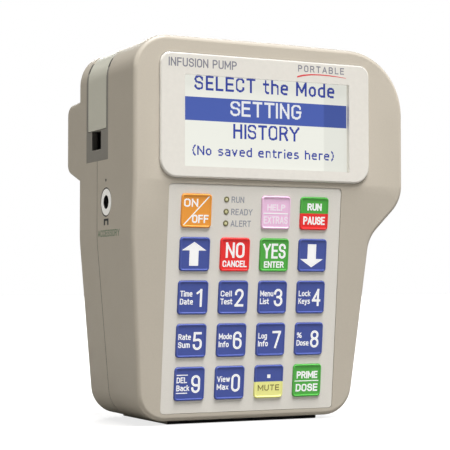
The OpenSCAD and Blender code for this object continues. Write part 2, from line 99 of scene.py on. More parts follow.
def remap(nt, fac, lo, hi, a=0.3, b=0.7):
    r = nt.nodes.new("ShaderNodeMapRange")
    r.inputs["From Min"].default_value = a
    r.inputs["From Max"].default_value = b
    r.inputs["To Min"].default_value = lo
    r.inputs["To Max"].default_value = hi
    nt.links.new(fac, r.inputs["Value"])
    return r.outputs["Result"]


def mix_col(nt, fac, a, b):
    m = nt.nodes.new("ShaderNodeMix")
    m.data_type = "RGBA"
    if isinstance(fac, float):
        m.inputs["Factor"].default_value = fac
    else:
        nt.links.new(fac, m.inputs["Factor"])
    for key, v in (("A", a), ("B", b)):
        sock = [s for s in m.inputs if s.name == key and s.type == "RGBA"][0]
        if isinstance(v, tuple):
            sock.default_value = (*v[:3], 1)
        else:
            nt.links.new(v, sock)
    return [s for s in m.outputs if s.type == "RGBA"][0]


def bump(nt, fac, strength, distance, normal=None):
    b = nt.nodes.new("ShaderNodeBump")
    b.inputs["Strength"].default_value = strength
    b.inputs["Distance"].default_value = distance
    nt.links.new(fac, b.inputs["Height"])
    if normal is not None:
        nt.links.new(normal, b.inputs["Normal"])
    return b.outputs["Normal"]


def plastic(name, rgb, rough=0.5, rough_var=0.06, var=0.05, grain=2600.0, grain_s=0.18, coat=0.0, spec=0.5, tint=None, patch=38.0, glow=0.0, top=0.0):
    """Moulded plastic: fine spark texture, slow colour drift, roughness that varies; top darkens faces that look up
    (painted shade), glow adds emission (painted light).
    """
    m, nt, b = new_mat(name)
    v = coords(nt)
    base = lin(rgb)
    dark = tuple(c * (1 - var) for c in base)
    lite = tuple(min(1, c * (1 + var * 0.6)) for c in base)
    if tint:
        dark = tuple(c * t for c, t in zip(dark, tint))
    slow = remap(nt, noise(nt, v, patch, 4), 0, 1)
    col = mix_col(nt, slow, dark, lite)
    speck = remap(nt, noise(nt, v, grain * 0.7, 2), 0, 1, 0.35, 0.65)
    col = mix_col(nt, 0.5, col, mix_col(nt, speck, tuple(c * 0.97 for c in base), tuple(min(1, c * 1.02) for c in base)))
    if top:
        # painted shade: faces that look up are darkened towards a greyer tone, against the strong light from above
        geo = nt.nodes.new("ShaderNodeNewGeometry")
        sep = nt.nodes.new("ShaderNodeSeparateXYZ")
        nt.links.new(geo.outputs["Normal"], sep.inputs["Vector"])
        col = mix_col(nt, remap(nt, sep.outputs["Z"], 0, 1, 0.08, 0.7), col, tuple(c * (1 - top) for c in base))
    nt.links.new(col, b.inputs["Base Color"])
    nt.links.new(remap(nt, noise(nt, v, patch * 3.1, 5), rough - rough_var, rough + rough_var), b.inputs["Roughness"])
    n1 = bump(nt, noise(nt, v, grain, 2), grain_s, 0.00006)
    n2 = bump(nt, noise(nt, v, 130.0, 3), 0.06, 0.0002, n1)
    nt.links.new(n2, b.inputs["Normal"])
    b.inputs["Specular IOR Level"].default_value = spec
    b.inputs["Coat Weight"].default_value = coat
    b.inputs["Coat Roughness"].default_value = 0.08
    # glow is emission on a part that is no lamp, painted light
    if glow:
        nt.links.new(col, b.inputs["Emission Color"])
        b.inputs["Emission Strength"].default_value = glow
    return m


def metal(name, rgb, rough=0.3, brushed=None, var=0.08, metallic=1.0):
    m, nt, b = new_mat(name)
    v = coords(nt, brushed or 1.0)
    base = lin(rgb)
    f = remap(nt, noise(nt, v, 900.0 if brushed is None else 500.0, 4), 0, 1)
    nt.links.new(mix_col(nt, f, tuple(c * (1 - var) for c in base), base), b.inputs["Base Color"])
    b.inputs["Metallic"].default_value = metallic
    nt.links.new(remap(nt, f, rough - 0.07, rough + 0.09, 0, 1), b.inputs["Roughness"])
    nt.links.new(bump(nt, f, 0.12, 0.00004), b.inputs["Normal"])
    return m


M = {}
# top= on the shell, door strip and window border is painted shade on the faces that look up
M["shell"] = plastic("beige_abs", (205, 196, 181), rough=0.46, var=0.03, grain_s=0.22, top=0.5)
M["shell_in"] = plastic("beige_abs_inside", (192, 184, 168), rough=0.6, var=0.04)
M["dark"] = plastic("liner_plastic", (150, 146, 138), rough=0.5, var=0.05, grain_s=0.2)
# a darker copy of the liner plastic for the frame's inner faces, painted shade in the channel
M["dark_in"] = plastic("liner_painted_shade", (74, 72, 68), rough=0.55, var=0.06, grain_s=0.2)
M["strip"] = plastic("door_plastic", (228, 226, 211), rough=0.38, var=0.03, grain_s=0.1, top=0.55)
M["bezel"] = plastic("window_border", (236, 232, 224), rough=0.22, rough_var=0.04, var=0.012, grain=900.0, grain_s=0.02, coat=0.4, top=0.5)
M["panel"] = plastic("panel_film", (240, 236, 228), rough=0.42, var=0.02, grain=3600.0, grain_s=0.1)
# the keys carry a little emission, painted light: they are not lit from inside
M["blue"] = plastic("key_blue", (69, 86, 164), rough=0.36, rough_var=0.05, var=0.04, grain_s=0.06, coat=0.15, glow=0.08)
M["orange"] = plastic("key_orange", (247, 162, 60), rough=0.36, rough_var=0.05, var=0.04, grain_s=0.06, coat=0.15, glow=0.08)
M["pink"] = plastic("key_pink", (247, 204, 236), rough=0.36, rough_var=0.05, var=0.03, grain_s=0.06, coat=0.15, glow=0.08)
M["green"] = plastic("key_green", (80, 178, 69), rough=0.36, rough_var=0.05, var=0.04, grain_s=0.06, coat=0.15, glow=0.08)
M["red"] = plastic("key_red", (245, 44, 44), rough=0.36, rough_var=0.05, var=0.04, grain_s=0.06, coat=0.15, glow=0.08)
M["yellow"] = plastic("key_yellow", (248, 246, 154), rough=0.36, rough_var=0.05, var=0.03, grain_s=0.06, coat=0.15, glow=0.08)
# the white and pink inks carry emission, painted light
M["ink_white"] = plastic("ink_white", (250, 250, 250), rough=0.45, var=0.01, grain_s=0.03, glow=0.2)
M["ink_pink"] = plastic("ink_pink", (253, 236, 248), rough=0.45, var=0.01, grain_s=0.03, glow=0.16)
M["ink_led"] = plastic("ink_led", (158, 160, 172), rough=0.5, var=0.03, grain_s=0.03)
M["ink_grey"] = plastic("ink_grey", (132, 132, 144), rough=0.5, var=0.03, grain_s=0.03)
M["ink_brown"] = plastic("ink_olive", (128, 116, 52), rough=0.5, var=0.03, grain_s=0.03)
M["ink_dark"] = plastic("ink_dark", (52, 52, 54), rough=0.5, var=0.03, grain_s=0.03)
M["ink_green"] = plastic("ink_green", (92, 126, 92), rough=0.5, var=0.03, grain_s=0.03)
M["ink_red"] = plastic("ink_red", (226, 74, 78), rough=0.45, var=0.04, grain_s=0.03)
M["black"] = plastic("black_plastic", (38, 36, 36), rough=0.5, var=0.1, grain_s=0.15)
# a blacker copy of the black plastic for the jack's socket and the ring's bore, painted shade in the hole
M["hole"] = plastic("socket_painted_shade", (24, 22, 22), rough=0.45, var=0.1, grain_s=0.1)
# base foot: black rubber whose black front also stands in for the shadow under the base, painted shadow; its sides take
# the housing beige darkened, painted shade
M["foot"] = plastic("foot_rubber_and_shadow", (26, 26, 27), rough=0.75, var=0.12, grain=1500.0, grain_s=0.35)
M["foot_side"] = plastic("foot_side_shaded_beige", (150, 143, 128), rough=0.6, var=0.05, grain_s=0.2)
M["silicone"] = plastic("silicone", (128, 128, 124), rough=0.6, var=0.05, grain_s=0.1)
M["acetal"] = plastic("acetal", (228, 227, 219), rough=0.4, var=0.02, grain_s=0.06)
M["steel"] = metal("turned_steel", (186, 186, 188), 0.3, (1, 18, 1))
# the plated ring carries emission, painted light
M["ring"] = plastic("plated_ring", (240, 238, 233), rough=0.25, var=0.02, grain_s=0.02, spec=0.8, glow=0.26)
M["brass"] = metal("brass", (214, 180, 106), 0.32)
M["can"] = metal("motor_can", (176, 177, 180), 0.36, (12, 1, 12))


def board_mat():
    m, nt, b = new_mat("circuit_board")
    v = coords(nt, 1.0)
    br = nt.nodes.new("ShaderNodeTexVoronoi")
    br.distance = "MANHATTAN"
    br.inputs["Scale"].default_value = 420.0
    nt.links.new(v, br.inputs["Vector"])
    f = remap(nt, br.outputs["Distance"], 0, 1, 0.35, 0.4)
    col = mix_col(nt, f, lin((18, 92, 52)), lin((32, 122, 70)))
    f2 = remap(nt, noise(nt, v, 60.0, 3), 0, 0.4)
    nt.links.new(mix_col(nt, f2, col, lin((14, 70, 44))), b.inputs["Base Color"])
    nt.links.new(remap(nt, noise(nt, v, 800.0), 0.3, 0.42), b.inputs["Roughness"])
    nt.links.new(bump(nt, f, 0.3, 0.00003), b.inputs["Normal"])
    b.inputs["Coat Weight"].default_value = 0.3
    return m


M["board"] = board_mat()


def cell_mat():
    """Cell sleeve: black below, a copper-coloured band above, bright ends."""
    m, nt, b = new_mat("cell_sleeve")
    t = nt.nodes.new("ShaderNodeTexCoord")
    sep = nt.nodes.new("ShaderNodeSeparateXYZ")
    nt.links.new(t.outputs["Object"], sep.inputs["Vector"])
    z = sep.outputs["Z"]
    top = remap(nt, z, 0, 1, 0.0430, 0.0432)
    end = remap(nt, z, 0, 1, 0.0562, 0.0564)
    col = mix_col(nt, top, lin((34, 34, 38)), lin((196, 128, 70)))
    col = mix_col(nt, end, col, lin((190, 190, 192)))
    v = coords(nt, (1, 1, 0.1))
    col = mix_col(nt, remap(nt, noise(nt, v, 700.0), 0, 0.15), col, lin((90, 90, 92)))
    nt.links.new(col, b.inputs["Base Color"])
    nt.links.new(remap(nt, noise(nt, v, 300.0), 0.24, 0.34), b.inputs["Roughness"])
    b.inputs["Metallic"].default_value = 0.6
    return m


M["cell"] = cell_mat()
M["tray"] = plastic("tray_plastic", (92, 90, 86), rough=0.55, var=0.06, grain_s=0.2)


def lcd_mat(name, rgb, glow=0.82, refl=0.16, coat=0.3, right=0.9):
    """Lit display: mostly its own light, a little of the room's, and a painted reflection that makes it a touch darker
    towards the right edge.
    """
    m, nt, b = new_mat(name)
    v = coords(nt)
    base = lin(rgb)
    g = remap(nt, noise(nt, v, 22.0, 2), 0, 1)
    col = mix_col(nt, g, tuple(c * 0.985 for c in base), base)
    t = nt.nodes.new("ShaderNodeTexCoord")
    sep = nt.nodes.new("ShaderNodeSeparateXYZ")
    nt.links.new(t.outputs["Object"], sep.inputs["Vector"])
    # painted reflection: beyond a line near the right edge the colour is darkened by right, for the cover glass's
    # reflection
    side = remap(nt, sep.outputs["X"], 0, 1, 0.0197, 0.0203)
    col = mix_col(nt, side, col, tuple(c * right for c in base))
    nt.links.new(mix_col(nt, refl, (0.0, 0.0, 0.0), col), b.inputs["Base Color"])
    nt.links.new(col, b.inputs["Emission Color"])
    b.inputs["Emission Strength"].default_value = glow
    nt.links.new(remap(nt, noise(nt, v, 500.0), 0.2, 0.27), b.inputs["Roughness"])
    b.inputs["Coat Weight"].default_value = coat
    b.inputs["Coat Roughness"].default_value = 0.04
    return m


# right= sets the painted reflection's darkening on the right; the bar takes a stronger one
M["lcd"] = lcd_mat("lcd_ground", (243, 244, 235))
M["lcd_bar"] = lcd_mat("lcd_bar", (78, 99, 178), right=0.78)
M["lcd_ink"] = lcd_mat("lcd_ink", (58, 74, 164))
M["lcd_white"] = lcd_mat("lcd_white", (248, 250, 252), 0.75)


def led_mat():
    m, nt, b = new_mat("led_lens")
    v = coords(nt)
    f = remap(nt, noise(nt, v, 2200.0), 0, 1)
    nt.links.new(mix_col(nt, f, lin((232, 228, 160)), lin((250, 246, 208))), b.inputs["Base Color"])
    nt.links.new(remap(nt, f, 0.15, 0.25, 0, 1), b.inputs["Roughness"])
    b.inputs["Coat Weight"].default_value = 0.8
    return m


M["led"] = led_mat()
M["led_ring"] = plastic("led_bezel", (128, 124, 84), rough=0.4, var=0.08, grain_s=0.05)

# ------------------------------------------------------------------ mesh helpers


def obj_from(name, verts, faces, mats, face_mats=None, smooth=True, weighted=True):
    me = bpy.data.meshes.new(name)
    me.from_pydata([tuple(v) for v in verts], [], faces)
    me.validate(clean_customdata=False)
    for m in mats if isinstance(mats, (list, tuple)) else [mats]:
        me.materials.append(m)
    if face_mats:
        for p, i in zip(me.polygons, face_mats):
            p.material_index = i
    for p in me.polygons:
        p.use_smooth = smooth
    o = bpy.data.objects.new(name, me)
    coll.objects.link(o)
    if weighted and smooth:
        w = o.modifiers.new("weighted", "WEIGHTED_NORMAL")
        w.keep_sharp = True
        w.weight = 60
    return o


def mark_sharp(me, deg):
    bm = bmesh.new()
    bm.from_mesh(me)
    lim = math.radians(deg)
    for e in bm.edges:
        e.smooth = not (len(e.link_faces) == 2 and e.calc_face_angle(0) > lim)
    bm.to_mesh(me)
    bm.free()


def refine(node, mats, width=0.25, segs=3, angle=28, pick=None, name=None, face_mat=None, sharp=50, clamp=True):
    """A finished copy of a CAD node: clean faces, rounded edges, smooth shading."""
    src = frame["nodes"][node]
    bm = bmesh.new()
    vs = [bm.verts.new(v.co) for v in src.data.vertices]
    bm.verts.ensure_lookup_table()
    for p in src.data.polygons:
        try:
            bm.faces.new([vs[i] for i in p.vertices])
        except ValueError:
            pass
    bmesh.ops.remove_doubles(bm, verts=bm.verts, dist=3e-6)
    bmesh.ops.dissolve_degenerate(bm, edges=bm.edges, dist=2e-6)
    bmesh.ops.dissolve_limit(bm, angle_limit=math.radians(0.4), verts=bm.verts, edges=bm.edges)
    bmesh.ops.recalc_face_normals(bm, faces=bm.faces)
    if width:
        es = []
        for e in bm.edges:
            if len(e.link_faces) == 2 and e.calc_face_angle(0) > math.radians(angle):
                if pick is None or pick(e):
                    es.append(e)
        w = width if not callable(width) else None
        bmesh.ops.bevel(bm, geom=es, offset=w * MM, offset_type="OFFSET", segments=segs, profile=0.5,
                        affect="EDGES", clamp_overlap=clamp, loop_slide=True, material=-1)
    for v in bm.verts:
        # keeps the rounded copy a hair inside the outer box, so that printed marks do not stand out of it
        v.co = Vector([min(max(c, -b), b) for c, b in zip(v.co[:2], ((51.57 - 0.013) * MM, (31.93 - 0.013) * MM))] + [min(v.co.z, 129 * MM)])
    me = bpy.data.meshes.new(name or node + "_body")
    bm.to_mesh(me)
    bm.free()
    mats = mats if isinstance(mats, (list, tuple)) else [mats]
    for m in mats:
        me.materials.append(m)
    for p in me.polygons:
        p.use_smooth = True
        if face_mat:
            p.material_index = face_mat(p)
    mark_sharp(me, sharp)
    o = bpy.data.objects.new(name or node + "_body", me)
    coll.objects.link(o)
    wn = o.modifiers.new("weighted", "WEIGHTED_NORMAL")
    wn.keep_sharp = True
    wn.weight = 80
    body = src.get("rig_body")
    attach(o, body)
    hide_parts(node)
    return o


GLYPHS = {
    "A": (5.6, "0,0 2.8,10 5.6,0|0.9,3.2 4.7,3.2"), "B": (5, "0,0 0,10 4.7,10,2.3 4.7,5.3,2.2 0,5.3|2,5.3 5,5.3,2.5 5,0,2.5 0,0"),
    "C": (4.8, "4.8,2.8 4.8,0,2.3 0,0,2.3 0,10,2.3 4.8,10,2.3 4.8,7.2"), "D": (5, "0,0 0,10 5,10,2.8 5,0,2.8 0,0"),
    "E": (4.3, "4.3,0 0,0 0,10 4.3,10|0,5.2 3.9,5.2"), "F": (4.2, "0,0 0,10 4.2,10|0,5.2 3.8,5.2"),
    "G": (5, "5,7.4 5,10,2.4 0,10,2.4 0,0,2.4 5,0,2.4 5,4.7 2.9,4.7"), "H": (5, "0,0 0,10|5,0 5,10|0,5.2 5,5.2"), "I": (0, "0,0 0,10"),
    "K": (5, "0,0 0,10|4.8,10 0,4|1.7,6 5,0"), "L": (4.1, "0,10 0,0 4.1,0"), "M": (6.6, "0,0 0,10 3.3,2.5 6.6,10 6.6,0"),
    "N": (5.1, "0,0 0,10 5.1,0 5.1,10"), "O": (5, "2.5,10 0,10,2.4 0,0,2.4 5,0,2.4 5,10,2.4 2.5,10"),
    "P": (4.8, "0,0 0,10 4.8,10,2.5 4.8,4.6,2.5 0,4.6"), "R": (5, "0,0 0,10 4.8,10,2.4 4.8,4.9,2.4 0,4.9|2.8,4.9 5,0"),
    "S": (4.8, "4.8,7.6 4.8,10,2.3 0,10,2.3 0,5.2,2.3 4.8,5.2,2.3 4.8,0,2.3 0,0,2.3 0,2.4"), "T": (5, "0,10 5,10|2.5,10 2.5,0"),
    "U": (5, "0,10 0,0,2.4 5,0,2.4 5,10"), "V": (5.2, "0,10 2.6,0 5.2,10"), "X": (5.2, "0,0 5.2,10|0,10 5.2,0"),
    "Y": (5.4, "0,10 2.7,4.6 5.4,10|2.7,4.6 2.7,0"),
    "0": (4.8, "2.4,10 0,10,2.4 0,0,2.4 4.8,0,2.4 4.8,10,2.4 2.4,10"), "1": (2.4, "0,7.9 2.4,10 2.4,0"),
    "2": (4.9, "0,7.4 0,10,2.4 4.8,10,2.3 4.8,6.2,1.3 0,0 4.9,0"),
    "3": (4.9, "0,7.7 0,10,2.3 4.6,10,2.3 4.6,5.3,2.2 1.8,5.3|1.8,5.3 4.9,5.3,2.4 4.9,0,2.5 0,0,2.4 0,2.3"),
    "4": (5.2, "4,0 4,10 0,3 5.2,3"), "5": (4.8, "4.5,10 0.4,10 0.2,5.5 4.8,6.1,2.5 4.8,0,2.4 0,0,2.4 0,2.2"),
    "6": (4.8, "4.6,7.7 4.6,10,2.3 0,10,2.4 0,0,2.4 4.8,0,2.4 4.8,5.8,2.4 0,5.8"), "7": (4.9, "0,10 4.9,10 1.7,0"),
    "8": (4.8, "2.4,5.3 0.2,5.3,2.2 0.2,10,2.2 4.6,10,2.2 4.6,5.3,2.2 2.4,5.3|2.4,5.3 0,5.3,2.4 0,0,2.4 4.8,0,2.4 4.8,5.3,2.4 2.4,5.3"),
    "9": (4.8, "0.2,2.3 0.2,0,2.3 4.8,0,2.4 4.8,10,2.4 0,10,2.4 0,4.2,2.4 4.8,4.2"),
    "a": (4, "0.5,7 4,7,1.7 4,0|4,4 0,4,1.9 0,0,1.9 4,0"), "c": (3.6, "3.5,7 0,7,1.8 0,0,1.8 3.5,0"),
    "d": (4, "4,10 4,0|4,7 0,7,2 0,0,2 4,0"), "e": (4, "0,3.6 4,3.6 4,7,1.9 0,7,1.9 0,0,1.9 3.7,0"),
    "f": (2.7, "2.8,10 0.9,10,1.4 0.9,0|-0.4,6.9 2.5,6.9"), "g": (4, "4,0 0,0,2 0,7,2 4,7 4,-3,1.9 0.2,-3"), "h": (4, "0,0 0,10|0,7 4,7,2 4,0"),
    "i": (0, "0,0 0,6.2|0,9.9 0,10"), "k": (3.8, "0,0 0,10|3.6,7 0,2.9|1.3,4.2 3.8,0"), "l": (0, "0,0 0,10"),
    "m": (6.6, "0,0 0,7|0,7 3.3,7,1.6 3.3,0|3.3,7 6.6,7,1.6 6.6,0"), "n": (4, "0,0 0,7|0,7 4,7,2 4,0"),
    "o": (4, "2,7 0,7,2 0,0,2 4,0,2 4,7,2 2,7"), "r": (2.6, "0,0 0,7|0,5.2 0.2,7,1.5 2.6,7"),
    "s": (3.6, "3.4,7 0,7,1.5 0,3.6,1.5 3.6,3.6,1.5 3.6,0,1.5 0.1,0"), "t": (2.7, "0.8,9.6 0.8,0,1.4 2.7,0|-0.3,6.9 2.6,6.9"),
    "u": (4, "0,7 0,0,2 4,0|4,7 4,0"), "v": (4, "0,7 2,0 4,7"), "w": (6, "0,7 1.5,0 3,6.6 4.5,0 6,7"), "x": (3.8, "0,0 3.8,7|0,7 3.8,0"),
    "y": (4, "0,7 2,0|4,7 1.4,-3 0,-3"), "(": (1.6, "1.6,11 0,8.5,3 0,1.5,3 1.6,-1"), ")": (1.6, "0,11 1.6,8.5,3 1.6,1.5,3 0,-1"),
    "%": (6.4, "5.6,10 0.8,0|1.2,5.8 0,5.8,1.1 0,10,1.1 2.4,10,1.1 2.4,5.8,1.1 1.2,5.8|5.2,0 4,0,1.1 4,4.2,1.1 6.4,4.2,1.1 6.4,0,1.1 5.2,0"),
    " ": (1.6, ""),
}


def centre_lines(string, gap):
    """Centre lines of a word in letter units (cap height 10), split where they turn sharply, and its width."""
    lines, x = [], 0.0
    for n, ch in enumerate(string):
        w, d = GLYPHS[ch]
        for part in [p for p in d.split("|") if p]:
            pts = [tuple(float(v) for v in t.split(",")) for t in part.split(" ")]
            cur = [(pts[0][0] + x, pts[0][1])]
            for k in range(1, len(pts) - 1):
                a, b, c = Vector(pts[k - 1][:2]), Vector(pts[k][:2]), Vector(pts[k + 1][:2])
                r = pts[k][2] if len(pts[k]) > 2 else 0
                if not r:
                    cur.append((b.x + x, b.y))
                    lines.append(cur)
                    cur = [(b.x + x, b.y)]
                    continue
                u, v = (a - b).normalized(), (c - b).normalized()
                half = math.acos(max(-1, min(1, u.dot(v)))) / 2
                t = min(r, 0.499 * (a - b).length if k > 1 else r, (c - b).length)
                p0, p1 = b + u * t, b + v * t
                rad = t * math.tan(half)
                m = b + (u + v).normalized() * (t / math.cos(half))
                a0 = math.atan2(p0.y - m.y, p0.x - m.x)
                da = math.atan2(p1.y - m.y, p1.x - m.x) - a0
                da = (da + math.pi) % (2 * math.pi) - math.pi
                for q in range(7):
                    cur.append((m.x + rad * math.cos(a0 + da * q / 6) + x, m.y + rad * math.sin(a0 + da * q / 6)))
            cur.append((pts[-1][0] + x, pts[-1][1]))
            lines.append(cur)
        x += w + (gap if n < len(string) - 1 else 0)
    return lines, x


def place_lines(string, cap, width, stroke, gap):
    lines, w = centre_lines(string, gap)
    sy = (cap - stroke) / 10
    sx = sy if width is None else (width - stroke) / max(w, 1e-6)
    if w == 0:
        sx = sy
    return [[(px * sx + stroke / 2, py * sy + stroke / 2) for px, py in ln] for ln in lines], w * sx + stroke


def lettering(name, string, M4, at, cap, width, mat, body, stroke=0.5, depth=0.03, align="C", gap=2.6):
    """Flat raised lettering. at is (u, v, w) in mm in the frame M4, whose X is along the line, Y up it, Z out of the face."""
    lines, total = place_lines(string, cap, width, stroke, gap)
    ox = at[0] - {"C": total / 2, "L": 0, "R": total}[align]
    oy = at[1] - cap / 2
    verts, faces = [], []
    h = stroke / 2
    for n, ln in enumerate(lines):
        p = [Vector(q) for q in ln]
        p = [q for i, q in enumerate(p) if i == 0 or (q - p[i - 1]).length > 1e-4]
        if len(p) < 2:
            continue
        ylo, yhi = min(q.y for q in p) - h, max(q.y for q in p) + h
        d0, d1 = (p[1] - p[0]).normalized(), (p[-1] - p[-2]).normalized()
        closed = (p[0] - p[-1]).length < 1e-3
        if not closed:
            p[0], p[-1] = p[0] - d0 * h, p[-1] + d1 * h
        left, right_ = [], []
        for i, q in enumerate(p):
            a = (q - p[i - 1]).normalized() if i else d0
            b = (p[i + 1] - q).normalized() if i < len(p) - 1 else d1
            t = (a + b).normalized()
            nrm = Vector((-t.y, t.x)) * (h / max(0.6, t.dot(a)))
            left.append(q + nrm)
            right_.append(q - nrm)
        top = depth + 0.0012 * (n % 4)
        k = len(verts)
        m = len(p)
        for z in (0.0, top):
            for q in left + right_:
                verts.append((q.x + ox, min(max(q.y, ylo), yhi) + oy, at[2] + z))
        L0, R0, L1, R1 = k, k + m, k + 2 * m, k + 3 * m
        for i in range(m - 1):
            faces.append((L1 + i, R1 + i, R1 + i + 1, L1 + i + 1))
            faces.append((L0 + i, L0 + i + 1, R0 + i + 1, R0 + i))
            faces.append((L0 + i, L1 + i, L1 + i + 1, L0 + i + 1))
            faces.append((R0 + i, R0 + i + 1, R1 + i + 1, R1 + i))
        faces.append((L0, R0, R1, L1))
        faces.append((L0 + m - 1, L1 + m - 1, R1 + m - 1, R0 + m - 1))
    bm = bmesh.new()
    vs = [bm.verts.new(M4 @ (Vector(v) * MM)) for v in verts]
    for f in faces:
        bm.faces.new([vs[i] for i in f])
    bmesh.ops.recalc_face_normals(bm, faces=bm.faces)
    out = bpy.data.meshes.new(name)
    bm.to_mesh(out)
    bm.free()
    out.materials.append(mat)
    o = bpy.data.objects.new(name, out)
    coll.objects.link(o)
    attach(o, body)
    return o


def plate(name, pts, M4, w0, w1, mat, body):
    """A flat shape with its outline in mm, from w0 to w1 out of the face."""
    n = len(pts)
    verts = [M4 @ (Vector((p[0], p[1], w)) * MM) for w in (w0, w1) for p in pts]
    faces = [tuple(range(n - 1, -1, -1)), tuple(range(n, 2 * n))]
    faces += [(i, (i + 1) % n, n + (i + 1) % n, n + i) for i in range(n)]
    o = obj_from(name, verts, faces, mat, smooth=False)
    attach(o, body)
    return o


# frames for flat work: X along, Y up, Z out of the face
FACE_PANEL = PANEL @ Matrix.Rotation(math.radians(90), 4, "X")
FACE_FRONT = Matrix.Translation((0, FRONT_Y * MM, 0)) @ Matrix.Rotation(math.radians(90), 4, "X")
FACE_LEFT = Matrix(((0, 0, -1, -51.57 * MM), (-1, 0, 0, 0), (0, 1, 0, 0), (0, 0, 0, 1)))

# ------------------------------------------------------------------ camera
yaw, pitch = math.radians(26.153), math.radians(2.37)
fwd = Vector((math.sin(yaw) * math.cos(pitch), math.cos(yaw) * math.cos(pitch), math.sin(pitch)))
right = Vector((math.cos(yaw), -math.sin(yaw), 0))
up = right.cross(fwd)
cam = bpy.data.cameras.new("camera")
cam.lens = 119.06
cam.sensor_width = 36
cam.clip_start = 0.01
cam.clip_end = 50
cam_o = bpy.data.objects.new("camera", cam)
coll.objects.link(cam_o)
cam_o.matrix_world = Matrix.Translation((-0.23721, -0.47629, 0.04597)) @ Matrix((right, up, -fwd)).transposed().to_4x4()
scene.camera = cam_o

# ------------------------------------------------------------------ housings
def back_edges(e):
    return all(v.co.y > 18.9 * MM for v in e.verts)


def window_edges(e):
    front = all(v.co.y < (FRONT_Y - 0.6) * MM for v in e.verts)
    inner = all(-34.2 * MM < v.co.x < 29.8 * MM and 85.2 * MM < v.co.z < 116.7 * MM for v in e.verts)
    return front and not inner


refine("front_housing", [M["shell"]], width=None, name="front_shell")
# the walls of the seam slit between the shells take black, painted shadow in the seam
refine("rear_housing", [M["shell"], M["black"]], width=0.2, segs=2, name="rear_shell", pick=back_edges, clamp=False,
       face_mat=lambda p: 1 if 1.3 < p.center.y / MM < 1.66 else 0)
refine("battery_door", [M["shell"]], width=0.25, segs=2, name="battery_cover_skin", clamp=False)
# the frame's inner faces take the darker copy of its plastic, painted shade in the channel
refine("mechanism_frame", [M["dark"], M["dark_in"]], width=0.15, segs=2, name="channel_frame",
       face_mat=lambda p: 1 if p.center.x / MM > -50.9 and p.center.z / MM < 124 else 0)
refine("pump_door", [M["strip"]], width=0.2, segs=2, name="door_strip")
refine("door_latch", [M["strip"]], width=None, name="door_lever")
refine("display_window", [M["bezel"]], width=0.72, segs=6, name="window_frame", pick=window_edges, clamp=False)
refine("keypad_panel", [M["panel"]], width=0.1, segs=2, name="panel_film")
# the jack's socket faces and the plated ring's bore take the blacker copy, painted shade in the hole
refine("accessory_jack", [M["black"], M["hole"]], width=0.12, segs=2, name="jack_body",
       face_mat=lambda p: 1 if math.hypot(p.center.y / MM + 6.63, p.center.z / MM - 74.6) < 3 else 0)
refine("jack_ring", [M["ring"], M["hole"]], width=0.1, segs=2, name="jack_collar",
       face_mat=lambda p: 1 if math.hypot(p.center.y / MM + 6.63, p.center.z / MM - 74.6) < 2.35 and abs(p.normal.x) < 0.5 else 0)
# the foot's side faces take the darkened beige, painted shade; the rest is black rubber, partly painted shadow
refine("base_foot", [M["foot"], M["foot_side"]], width=0.3, segs=3, name="foot_pad", clamp=False,
       face_mat=lambda p: 1 if abs(p.normal.x) > 0.7 else 0)

# ------------------------------------------------------------------ keys
def rr(w, h, r, n=7):
    r = max(r, 0.12)
    pts = [(w / 2, 0.0)]
    for cx, cy, a0 in ((w / 2 - r, h / 2 - r, 0), (-w / 2 + r, h / 2 - r, 90)):
        pts += [(cx + r * math.cos(math.radians(a0 + 90 * k / n)), cy + r * math.sin(math.radians(a0 + 90 * k / n))) for k in range(n + 1)]
    pts.append((-w / 2, 0.0))
    for cx, cy, a0 in ((-w / 2 + r, -h / 2 + r, 180), (w / 2 - r, -h / 2 + r, 270)):
        pts += [(cx + r * math.cos(math.radians(a0 + 90 * k / n)), cy + r * math.sin(math.radians(a0 + 90 * k / n))) for k in range(n + 1)]
    return pts


LEVELS = [(-0.4, -1.9), (-0.4, -1.28), (0, -1.28), (0, -0.03)]
for k in range(1, 7):
    a = math.radians(15 * k)
    LEVELS.append((0.36 * (1 - math.cos(a)), -0.03 + 0.36 * math.sin(a)))
LEVELS += [(0.44, 0.325), (0.52, 0.28), (0.6, 0.21), (0.68, 0.15), (0.78, 0.125), (0.95, 0.12)]
TOP_W = 0.12


def keycap(name, c, r, up_mat, low_mat=None):
    cx, cy = KEY_X0 + c * KEY_PX, -(KEY_S0 + r * KEY_PZ)
    rings = [[(x + cx, y + cy, w) for x, y in rr(KEY_W - 2 * t, KEY_H - 2 * t, 1.2 - t)] for t, w in LEVELS]
    n = len(rings[0])
    verts = [FACE_PANEL @ (Vector(p) * MM) for ring in rings for p in ring]
    faces, fm = [], []
    half = n // 2

    def side(i):
        return 0 if i < half else 1

    for j in range(len(rings) - 1):
        for i in range(n):
            a, b = j * n + i, j * n + (i + 1) % n
            faces.append((a, b, b + n, a + n))
            fm.append(side(i))
    L = (len(rings) - 1) * n
    faces.append(tuple(L + i for i in range(0, half + 1)))
    fm.append(0)
    faces.append(tuple(L + i for i in list(range(half, n)) + [0]))
    fm.append(1)
    faces.append(tuple(range(n - 1, -1, -1)))
    fm.append(1)
    o = obj_from(name + "_cap", verts, faces, [up_mat, low_mat or up_mat], fm)
    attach(o, name)
    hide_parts(name)
    return cx, cy


def key_text(name, tag, string, u, v, cap, width, mat="ink_white", stroke=0.6, align="C", gap=2.6):
    c, r = KEYS[name][:2]
    cx, cy = KEY_X0 + c * KEY_PX + TEXT_DX, -(KEY_S0 + r * KEY_PZ)
    return lettering(f"{name}_{tag}", string, FACE_PANEL, (cx + u, cy + v, TOP_W - 0.01), cap, width, M[mat], name, stroke=stroke, align=align, depth=0.035, gap=gap)


